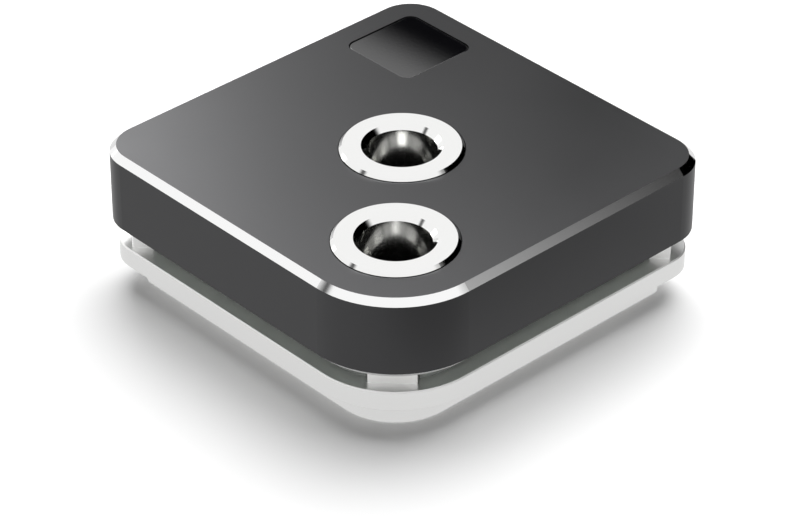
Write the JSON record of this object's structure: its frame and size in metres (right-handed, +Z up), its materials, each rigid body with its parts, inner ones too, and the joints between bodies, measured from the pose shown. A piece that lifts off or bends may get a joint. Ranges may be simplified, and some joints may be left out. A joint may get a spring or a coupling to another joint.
{
  "type": "liquid cooling cold plate",
  "caption": "Square processor cold plate for liquid cooling: dark metal cover with two bright threaded ports, over a bright flange and pedestal with a slot between for a bracket.",
  "frame": {"origin": "on the contact face at the base, straight below the middle of the central port", "axes": "+Z up out of the ports, square to the contact face; +X and +Y along the sides; the wide corner and the second port lie at +X -Y"},
  "size_m": [0.071, 0.071, 0.0272],
  "materials": {
    "anodised_aluminium": "fine bead-blasted, dark grey anodised",
    "gloss_black_plate": "gloss black",
    "adhesive_film": "dull",
    "nickel_plated_brass": "bright nickel",
    "nickel_plated_copper": "nickel plated, satin",
    "black_acetal": "machined, satin",
    "stainless_steel": "plain",
    "black_rubber": "moulded"
  },
  "bodies": {
    "root": {"cover": "anodised_aluminium", "badge_plate": "gloss_black_plate", "badge_adhesive": "adhesive_film", "inlet_port_insert": "nickel_plated_brass", "outlet_port_insert": "nickel_plated_brass", "inlet_port_seal": "black_rubber", "outlet_port_seal": "black_rubber", "manifold": "black_acetal", "jet_plate": "stainless_steel", "jet_gasket": "black_rubber", "perimeter_seal": "black_rubber", "cold_plate": "nickel_plated_copper", "body_screws": "stainless_steel", "standoff_front": "nickel_plated_brass", "standoff_right": "nickel_plated_brass", "standoff_back": "nickel_plated_brass", "standoff_left": "nickel_plated_brass"}
  },
  "joints": []
}
